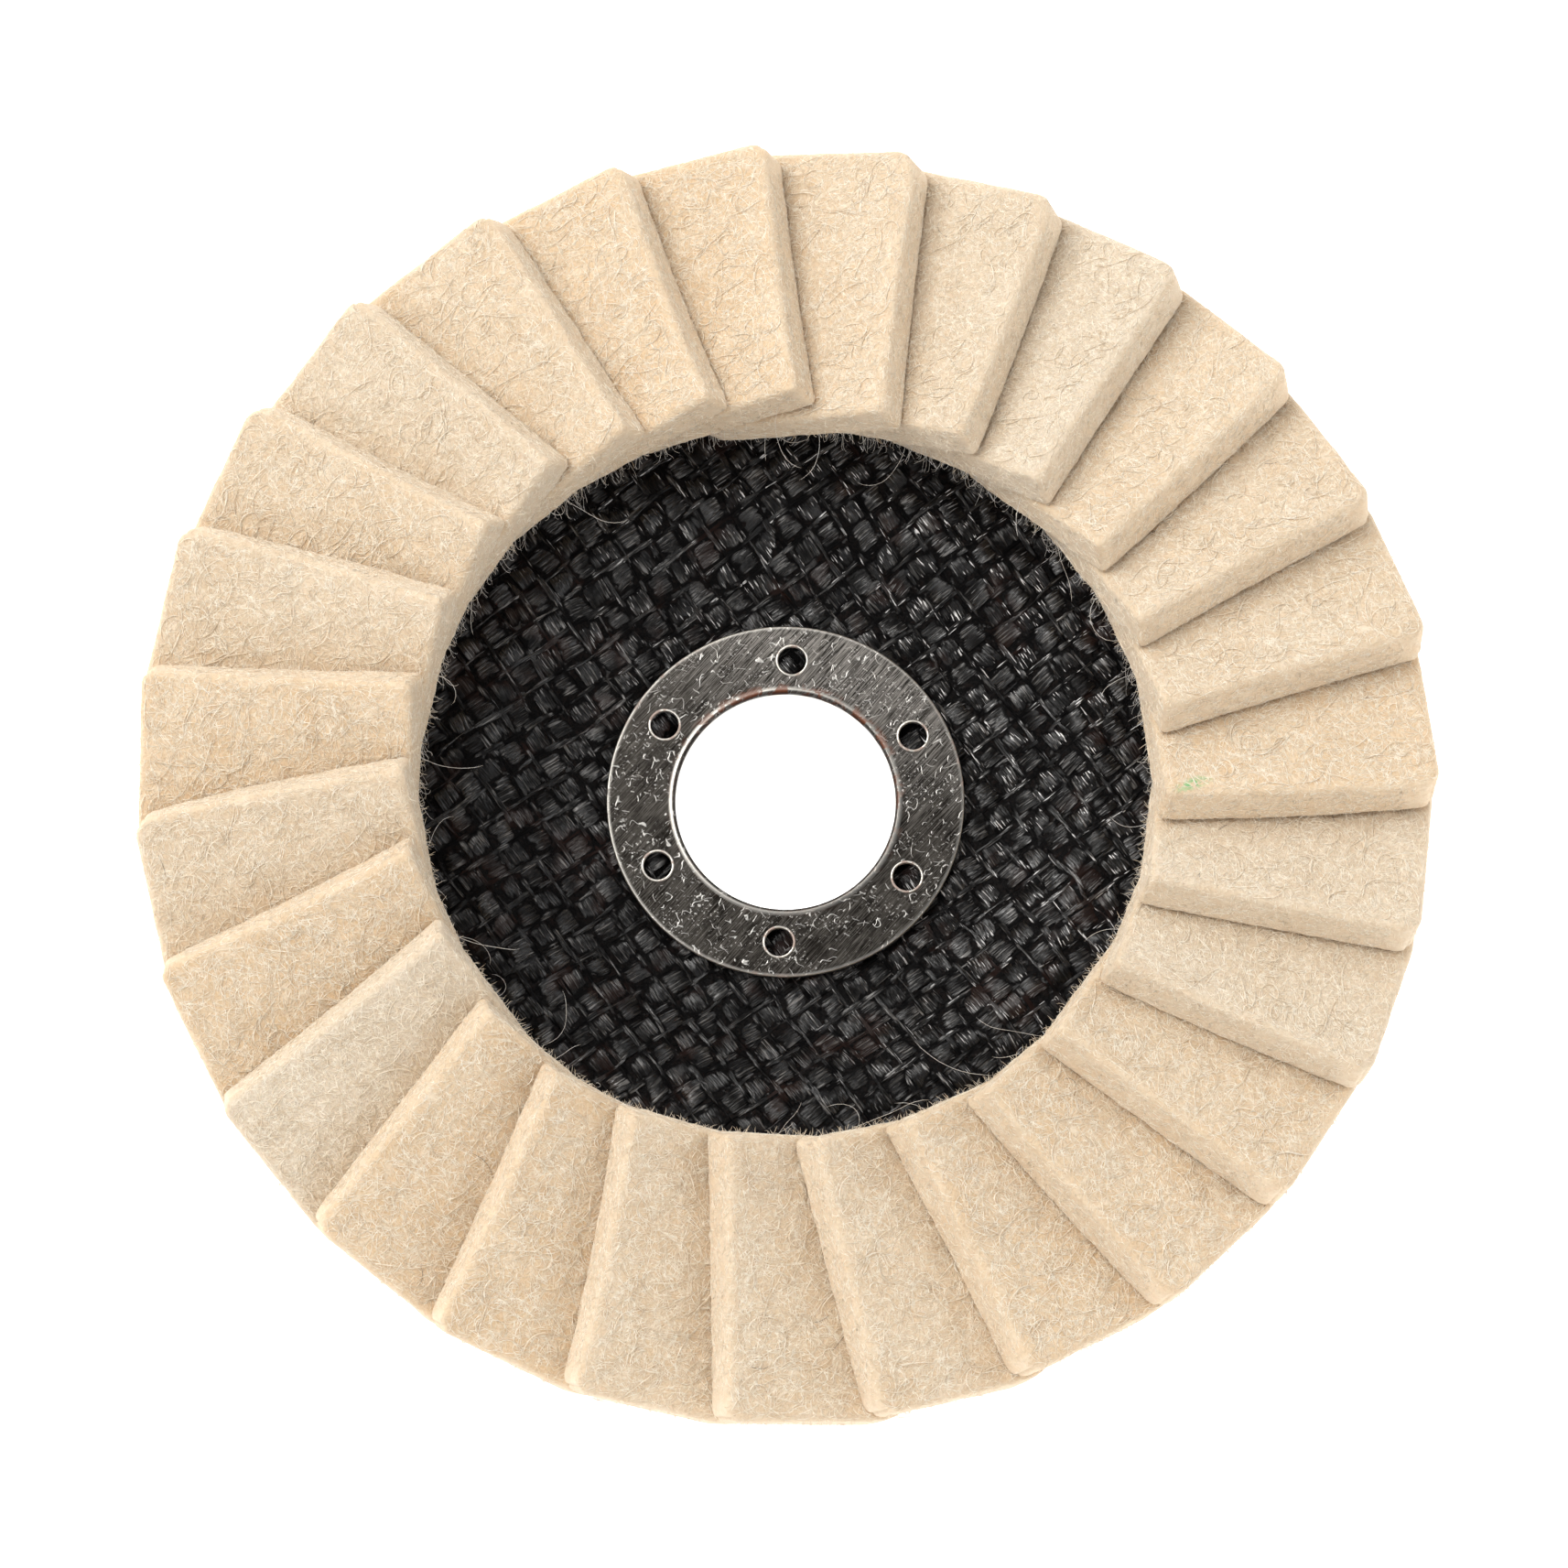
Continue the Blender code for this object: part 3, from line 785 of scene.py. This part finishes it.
def cloth_height(radius):
    """Height of the front of the backing."""
    return front_ply_low.z + PLY_THICKNESS + dish_height(radius)


def yarn_paths(radius_in, radius_out, family):
    """Family, number, start and end of each yarn of one family in a ring, kept clear of its inside."""
    count = int(radius_out / WEAVE_PITCH)
    paths = []
    for number in range(-count, count + 1):
        beside = number * WEAVE_PITCH
        reach = math.sqrt(radius_out**2 - beside**2)
        nearest = max(abs(beside) - YARN_WIDTH * 0.6, 0)
        inner = math.sqrt(max(radius_in**2 - nearest**2, 0))
        if reach - inner < WEAVE_PITCH / 2:
            continue
        spans = [(-reach, -inner), (inner, reach)] if inner else [(-reach, reach)]
        paths += [(family, number, start, end) for start, end in spans]
    return paths


def signed_power(values, power):
    return np.sign(values) * np.abs(values) ** power


def yarn_stations(start, end, spacing, sides):
    """Places along a yarn, the same places as points for a ripple, and the angles round its section."""
    along = np.linspace(start, end, max(int((end - start) / spacing), 3))
    turn = np.arange(sides) * math.tau / sides
    return along, np.stack([along, along * 0, along * 0], -1), turn


def laid_strand(family, along, beside, lift, base_height, facing):
    """Points and faces of a strand on the dish, from its places along and beside its family's direction."""
    angle = WEAVE_ANGLE + family * math.pi / 2
    length = np.broadcast_to(along[:, None], beside.shape)
    x = length * math.cos(angle) - beside * math.sin(angle)
    y = length * math.sin(angle) + beside * math.cos(angle)
    z = base_height + dish_height(np.hypot(x, y)) + facing * lift
    faces = grid_faces(*beside.shape)
    return np.stack([x, y, z], -1).reshape(-1, 3), faces if facing > 0 else faces[:, ::-1]


def yarn_coordinates(along, beside, shift):
    """Where each point lies along and across its yarn, in millimetres."""
    length = np.broadcast_to(along[:, None], beside.shape)
    return np.stack([length / MM, beside / MM + shift], -1).reshape(-1, 2)


def yarn_mesh(rng, path, base_height, facing):
    """One flat roving, woven over and under: points, faces, yarn coordinates, proud and painted glint
    strength.
    """
    family, number, start, end = path
    along, line, turn = yarn_stations(start, end, 0.42 * MM, 24)
    phase = math.pi * (number + family)
    drift = Ripple(rng, 12 * MM, 5)(line) * 0.18 * MM
    swell = 1 + 0.10 * Ripple(rng, 5 * MM, 5)(line)
    lean = 0.050 * Ripple(rng, 3.4 * MM, 5)(line)
    over = signed_power(np.cos(math.pi * along / WEAVE_PITCH + phase), 1.2)
    half_width = YARN_WIDTH / 2 * swell * (1 + 0.05 * over)
    flat = signed_power(np.cos(turn), 0.65)
    beside = number * WEAVE_PITCH + drift[:, None] + half_width[:, None] * flat
    crown = signed_power(np.sin(turn), 0.4)
    split = np.exp(-((flat - 0.25 * Ripple(rng, 6 * MM, 5)(line)[:, None]) / 0.16) ** 2)
    wave = YARN_WAVE * over * (1 + 0.16 * Ripple(rng, 3.5 * MM, 5)(line))
    lift = wave[:, None] + YARN_THICKNESS / 2 * crown * (1 - 0.75 * split)
    lift = lift + lean[:, None] * half_width[:, None] * flat
    points, faces = laid_strand(family, along, beside, lift, base_height, facing)
    lie = yarn_coordinates(along, beside - drift[:, None], family * FAMILY_SHIFT)
    proud = np.clip((lift - RESIN_LEVEL) / (YARN_WAVE + YARN_THICKNESS / 2 - RESIN_LEVEL), 0, 1)
    return points, faces, lie, proud.ravel(), np.full(proud.size, PAINTED_GLINT_SHARE[family])


def gap_strand_mesh(rng, path, base_height, facing):
    """A thin strand that strayed out of a roving and lies in the gap beside it, on the resin."""
    family, number, start, end = path
    along, line, turn = yarn_stations(start, end, 0.5 * MM, 8)
    middle = (number + 0.5) * WEAVE_PITCH + Ripple(rng, 6 * MM, 5)(line) * 0.16 * MM
    width = GAP_STRAND_WIDTH / 2 * (1 + 0.35 * Ripple(rng, 4 * MM, 5)(line))
    rise = Ripple(rng, 2.2 * MM, 5)(line)
    beside = middle[:, None] + width[:, None] * np.cos(turn)
    lift = RESIN_LEVEL + 0.03 * MM * rise[:, None] + 0.07 * MM * np.sin(turn)
    points, faces = laid_strand(family, along, beside, lift, base_height, facing)
    lie = yarn_coordinates(along, beside, STRAY_SHIFT + family * FAMILY_SHIFT)
    proud = np.broadcast_to(np.clip(0.34 + 0.36 * rise[:, None], 0, 1), beside.shape)
    return points, faces, lie, proud.ravel(), np.ones(proud.size)


def set_yarn_map(piece, lie):
    """Stores the yarn coordinates as a UV map."""
    layer = piece.data.uv_layers.new(name="yarn")
    corner_points = np.zeros(len(piece.data.loops), dtype=np.int32)
    piece.data.loops.foreach_get("vertex_index", corner_points)
    layer.data.foreach_set("uv", lie[corner_points].astype(np.float32).ravel())


def joined(meshes):
    """One points array and one faces array from many."""
    counts = [len(points) for points, _ in meshes]
    first = np.cumsum([0] + counts[:-1])
    faces = [part_faces + start for (_, part_faces), start in zip(meshes, first)]
    return np.concatenate([points for points, _ in meshes]), np.concatenate(faces)


def make_weave(name, radius_in, radius_out, base_height, facing, material):
    """A plain weave of two families of yarns in a ring. facing is 1 on the front and -1 on the rear."""
    rng = np.random.default_rng(int(radius_out / MM))
    strands = []
    for family in (0, 1):
        for path in yarn_paths(radius_in, radius_out, family):
            strands.append(yarn_mesh(rng, path, base_height, facing))
            strands.append(gap_strand_mesh(rng, path, base_height, facing))
    points, faces = joined([strand[:2] for strand in strands])
    piece = new_piece(name, points, faces, material, "backing")
    lies, heights, glint_shares = [np.concatenate(values) for values in zip(*[strand[2:] for strand in strands])]
    set_yarn_map(piece, lies)
    set_values(piece, "proud", heights)
    # how strongly each place shows the painted glints
    set_values(piece, "worn", glint_shares)


def make_ply(node, material, skin):
    """A ply of the dish with a rough-cut rim. skin is how far its underside and its top are set back."""
    low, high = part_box(node)
    bottom, top = low.z, low.z + PLY_THICKNESS
    inner, outer = BORE_RADIUS + 0.9 * MM, high.x
    radii = np.concatenate([[inner], np.linspace(DISH_HUB_RADIUS, DISH_FLANGE_RADIUS, 16),
                            np.linspace(DISH_FLANGE_RADIUS + 4 * MM, outer - 0.15 * MM, 8)])
    rim = [(outer - 0.02 * MM, 0.8), (outer, 0.5), (outer - 0.02 * MM, 0.2)]
    under_skin, over_skin = skin
    lower = bottom + under_skin + dish_height(radii)
    upper = top - over_skin + dish_height(radii)
    edge = [(r, lower[-1] + (upper[-1] - lower[-1]) * share) for r, share in rim]
    outline = [*zip(radii, upper), *edge, *zip(radii[::-1], lower[::-1])]
    points, faces = turned_mesh(outline, 240)
    ragged = Ripple(np.random.default_rng(5), 2.5 * MM)
    reach = np.hypot(points[:, 0], points[:, 1])
    on_rim = np.clip((reach - outer + 1 * MM) / MM, 0, 1)
    points[:, :2] *= (1 - 0.12 * MM / outer * on_rim * (1 + ragged(points)))[:, None]
    piece = new_piece(node.replace("_ply", "_sheet"), points, faces, material, "backing")
    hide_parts(node)


def make_backing():
    """Three plies in resin, with a weave that stands out of the first and the last."""
    cloth = cloth_material()
    resin = resin_material()
    weave_depth = YARN_WAVE + YARN_THICKNESS / 2
    skin = weave_depth - RESIN_LEVEL
    make_ply("rear_glass_ply", resin, (skin, -PLY_OVERLAP))
    make_ply("middle_glass_ply", resin, (-PLY_OVERLAP, -PLY_OVERLAP))
    make_ply("front_glass_ply", resin, (-PLY_OVERLAP, skin))
    front = cloth_height(0.0) - weave_depth
    make_weave("front_weave", BORE_RADIUS + 1.0 * MM, FRONT_CLOTH_RADIUS, front, 1, cloth)
    rear_low, rear_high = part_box("rear_glass_ply")
    rear = rear_low.z + weave_depth
    make_weave("rear_weave", BORE_RADIUS + 1.0 * MM, rear_high.x - 0.3 * MM, rear, -1, cloth)


# ---------------------------------------------------------------- steel ring and adhesive

def hole_centres():
    """Where the clinch holes sit, as x and y."""
    for number in range(HOLE_COUNT):
        bearing = FIRST_HOLE_BEARING + math.tau * number / HOLE_COUNT
        yield HOLE_CIRCLE_RADIUS * math.sin(bearing), HOLE_CIRCLE_RADIUS * math.cos(bearing)


def pierced(piece, cutters):
    """Cuts the clinch holes and keeps the result as a plain mesh."""
    for cutter in cutters:
        cut = piece.modifiers.new("hole", "BOOLEAN")
        cut.operation = "DIFFERENCE"
        cut.object = cutter
    evaluated = piece.evaluated_get(bpy.context.evaluated_depsgraph_get())
    mesh = bpy.data.meshes.new_from_object(evaluated)
    piece.modifiers.clear()
    piece.data = mesh
    for cutter in cutters:
        bpy.data.objects.remove(cutter)
    mesh.set_sharp_from_angle(angle=math.radians(40))


def hole_cutter(x, y, top):
    """A plug that cuts one clinch hole wide enough for its rolled lip."""
    radius = HOLE_RADIUS + 0.16 * MM
    mesh = bpy.data.meshes.new("hole_cutter")
    shape = bmesh.new()
    bmesh.ops.create_cone(shape, cap_ends=True, segments=48, radius1=radius, radius2=radius, depth=3 * MM)
    bmesh.ops.translate(shape, verts=shape.verts, vec=(x, y, top))
    shape.to_mesh(mesh)
    shape.free()
    cutter = bpy.data.objects.new("hole_cutter", mesh)
    bpy.context.scene.collection.objects.link(cutter)
    return cutter


def make_ring():
    """Flange with a softened rim, a collar through the bore, and clinched holes with rolled lips."""
    steel = steel_material()
    top = ring_high.z - FLANGE_DROP
    under = top - FLANGE_THICKNESS
    soft = RIM_ROUND
    collar = BORE_RADIUS + COLLAR_WALL
    outline = [
        *arc((BORE_RADIUS + LIP_RADIUS, top - 0.28 * MM), LIP_RADIUS, 180, 60, 7),
        (BORE_RADIUS + 0.75 * MM, top),
        *[(BORE_RADIUS + (ring_radius - BORE_RADIUS) * i / 6, top) for i in range(1, 6)],
        (ring_radius - 0.40 * MM, top),
        *arc((ring_radius - soft, top - soft), soft, 90, 0, 5),
        *arc((ring_radius - soft, under + soft), soft, 0, -90, 5),
        (collar + 0.2 * MM, under),
        (collar, under - 0.2 * MM),
        (collar, ring_low.z + 0.1 * MM),
        (collar - 0.1 * MM, ring_low.z),
        (BORE_RADIUS + 0.1 * MM, ring_low.z),
        (BORE_RADIUS, ring_low.z + 0.1 * MM),
        (BORE_RADIUS, top - 0.95 * MM),
        (BORE_RADIUS, top - 0.60 * MM),
    ]
    points, faces = turned_mesh(outline, 192)
    ring = new_piece("hub_ring_steel", points, faces, steel, "backing")
    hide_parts("hub_ring")
    pierced(ring, [hole_cutter(x, y, top) for x, y in hole_centres()])
    set_wear(ring, top)
    make_clinch_lips(steel, top)


def set_wear(ring, top):
    """Stores polish and painted highlights, rust, and the darkened top of the bore, for the ring's material.
    """
    place = np.array([vertex.co for vertex in ring.data.vertices])
    radius = np.hypot(place[:, 0], place[:, 1])
    near_bore = np.clip(1 - (radius - BORE_RADIUS) / (0.85 * MM), 0, 1)
    near_rim = np.clip(1 - (ring_radius - radius) / (0.36 * MM), 0, 1)
    # painted highlight along the crest of the lip round the bore
    crest = np.clip(1 - np.abs(radius - BORE_RADIUS - 0.42 * MM) / (0.20 * MM), 0, 1)
    by_lip = np.clip((place[:, 2] - top) / (0.35 * MM) + 2.7, 0, 1)
    inside = np.clip(1 - (radius - BORE_RADIUS) / (0.25 * MM), 0, 1) * by_lip
    # painted highlight: the bore wall is painted bright
    painted_wall_highlight = (place[:, 2] < top - 0.9 * MM) & (radius < BORE_RADIUS + 0.05 * MM)
    bearing = np.arctan2(place[:, 0], place[:, 1])
    rusty_bore = np.clip(0.30 + 0.85 * np.cos(bearing - 0.35), 0.12, 1) * by_lip
    rusty_rim = np.clip(np.cos(3 * bearing + 2.4) - 0.35, 0, 1)
    set_values(ring, "rust", np.maximum(near_bore**0.5 * rusty_bore, rusty_rim * near_rim))
    # rim holds the polish of the outer edge and the painted highlights on the lip's crest and the bore wall
    set_values(ring, "rim", np.maximum(np.maximum(0.8 * crest, near_rim * 0.75), painted_wall_highlight))
    # the thin band round the inside top of the bore that the material darkens
    set_values(ring, "grime", inside**0.5)


def make_clinch_lips(steel, top):
    """The rolled lip round each hole, dented a little."""
    lip = [
        *arc((HOLE_RADIUS + 0.14 * MM, 0.0), 0.13 * MM, 180, 0, 8),
        (HOLE_RADIUS + 0.27 * MM, -0.15 * MM),
        (HOLE_RADIUS + 0.14 * MM, -0.5 * MM),
        (HOLE_RADIUS + 0.01 * MM, -0.5 * MM),
    ]
    lip_points, lip_faces = turned_mesh(lip, 40)
    rng = np.random.default_rng(11)
    for number, (x, y) in enumerate(hole_centres()):
        dented = lip_points + (x, y, top)
        dented[:, 2] += Ripple(rng, 2.2 * MM)(dented) * 0.02 * MM
        clinch = new_piece(f"clinch_lip_{number + 1}", dented, lip_faces, steel, "backing")
        set_values(clinch, "rim", np.ones(len(dented)))
        set_values(clinch, "rust", np.full(len(dented), 0.55))
        set_values(clinch, "grime", np.zeros(len(dented)))


def fillet_mesh(rng, joint, base):
    """A wedge of epoxy against the foot of one flap's glued edge, in the gap under its neighbour."""
    along = np.linspace(flap_inner + 1.0 * MM, flap_outer - ROOT_CORNER, 44)
    line = np.stack([along, along * 0, along * 0], -1)
    height = (1.1 + 0.35 * Ripple(rng, 5 * MM, 6)(line)) * MM
    width = (2.6 + 0.8 * Ripple(rng, 6 * MM, 6)(line)) * MM
    share = np.linspace(0, 1, 8)
    beside = -root_offset + 0.1 * MM - width[:, None] * share
    rise = height[:, None] * (1 - share) ** 1.8 - 0.15 * MM * share
    across = np.concatenate([beside, beside[:, :1]], 1)
    rise = np.concatenate([rise, np.full((len(along), 1), -0.15 * MM)], 1)
    clockwise, outwards, _ = flap_axes(joint)
    points = across[..., None] * clockwise + along[:, None, None] * outwards
    points[..., 2] = base + rise
    return points.reshape(-1, 3), grid_faces(len(along), across.shape[1])


def make_adhesive():
    """A rough bead of epoxy on the flange, with a fillet at the foot of each flap's glued edge."""
    amber = adhesive_material()
    low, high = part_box("adhesive_ring")
    rng = np.random.default_rng(3)
    inner, outer = BEAD_RADIUS_IN, high.x - 0.2 * MM
    thick = high.z - low.z + 0.2 * MM
    share = np.linspace(0, 1, 24)
    crown = low.z + thick * (0.55 + 0.45 * np.minimum(1, 4 * np.sin(math.pi * share)))
    outline = [*zip(inner + (outer - inner) * share, crown)]
    outline += [(outer, low.z - 0.12 * MM), (inner, low.z - 0.12 * MM)]
    points, faces = turned_mesh(outline, 216)
    blobs = Ripple(rng, 5 * MM)
    above = np.clip((points[:, 2] - low.z) / thick, 0, 1)
    points[:, 2] += blobs(points) * 0.05 * MM * above
    bead = new_piece("adhesive_bead", points, faces, amber, "backing")
    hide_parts("adhesive_ring")
    points, faces = joined([fillet_mesh(rng, joint, low.z + thick) for joint in joints])
    new_piece("adhesive_fillets", points, faces, amber, "backing")


# ---------------------------------------------------------------- studio

WARM_LIGHT = (1.0, 0.985, 0.96)


def make_stage():
    """A wide pale floor under the disc."""
    mesh = bpy.data.meshes.new("studio_floor")
    shape = bmesh.new()
    bmesh.ops.create_grid(shape, x_segments=8, y_segments=8, size=3.0)
    shape.to_mesh(mesh)
    shape.free()
    mesh.materials.append(stage_material("pale_floor", 0.93, 1.0))
    floor = bpy.data.objects.new("studio_floor", mesh)
    floor.location.z = cad_low.z - 0.2 * MM
    bpy.context.scene.collection.objects.link(floor)


def add_softbox(name, place, size, power, colour=(1, 1, 1)):
    """A rectangular lamp that faces the origin."""
    light = bpy.data.lights.new(name, "AREA")
    light.shape = "RECTANGLE"
    light.size, light.size_y = size
    light.energy = power
    light.color = colour
    lamp = bpy.data.objects.new(name, light)
    lamp.location = place
    lamp.rotation_euler = (-Vector(place)).to_track_quat("-Z", "Y").to_euler()
    bpy.context.scene.collection.objects.link(lamp)


def make_lights():
    """Soft light from the upper left, weak fill, and low lights on the cut edges."""
    add_softbox("key_softbox", (-0.55, 0.45, 0.88), (1.0, 1.0), 9.8, WARM_LIGHT)
    add_softbox("strip_softbox", (-0.60, 0.35, 0.85), (0.12, 0.5), 2.0, WARM_LIGHT)
    add_softbox("fill_softbox", (0.75, 0.25, 0.55), (0.5, 0.5), 1.1, (0.97, 0.985, 1.0))
    add_softbox("front_softbox", (-0.30, -0.65, 0.75), (0.6, 0.4), 0.8)
    add_softbox("side_softbox", (0.45, -0.65, 0.40), (0.7, 0.35), 1.6, (1.0, 0.975, 0.94))


def make_sky():
    """A pale sky that is darkest overhead, so that the steel and the resin stay dark."""
    s = Shader("studio_sky", bpy.data.worlds)
    height = s.node("SeparateXYZ", {0: s.node("TexCoord").outputs["Generated"]}).outputs["Z"]
    shade = s.node("ValToRGB", {0: height})
    level, overhead = shade.color_ramp.elements
    level.position, level.color = 0.35, (0.95, 0.96, 0.98, 1)
    overhead.position, overhead.color = 0.97, (0.12, 0.12, 0.13, 1)
    sky = s.node("Background", {"Color": shade.outputs[0], "Strength": 0.95})
    s.node("OutputWorld", {0: sky.outputs[0]})
    bpy.context.scene.world = s.owner


def make_camera():
    """Long lens over the working side, leaning a little towards -Y."""
    distance = 0.65
    tilt = math.radians(11.5)
    width_seen = 158.2 * MM  # at the ring's distance
    aim = Vector((-0.15 * MM, 1.7 * MM, ring_high.z))
    data = bpy.data.cameras.new("camera")
    data.lens = data.sensor_width * distance / width_seen
    data.clip_start = 0.05
    data.clip_end = 20
    camera = bpy.data.objects.new("camera", data)
    camera.location = aim + distance * Vector((0, -math.sin(tilt), math.cos(tilt)))
    camera.rotation_euler = (tilt, 0, 0)
    bpy.context.scene.collection.objects.link(camera)
    bpy.context.scene.camera = camera


make_backing()
make_ring()
make_adhesive()
make_felt()
make_stage()
make_lights()
make_sky()
make_camera()
bpy.context.scene.view_settings.view_transform = "Standard"
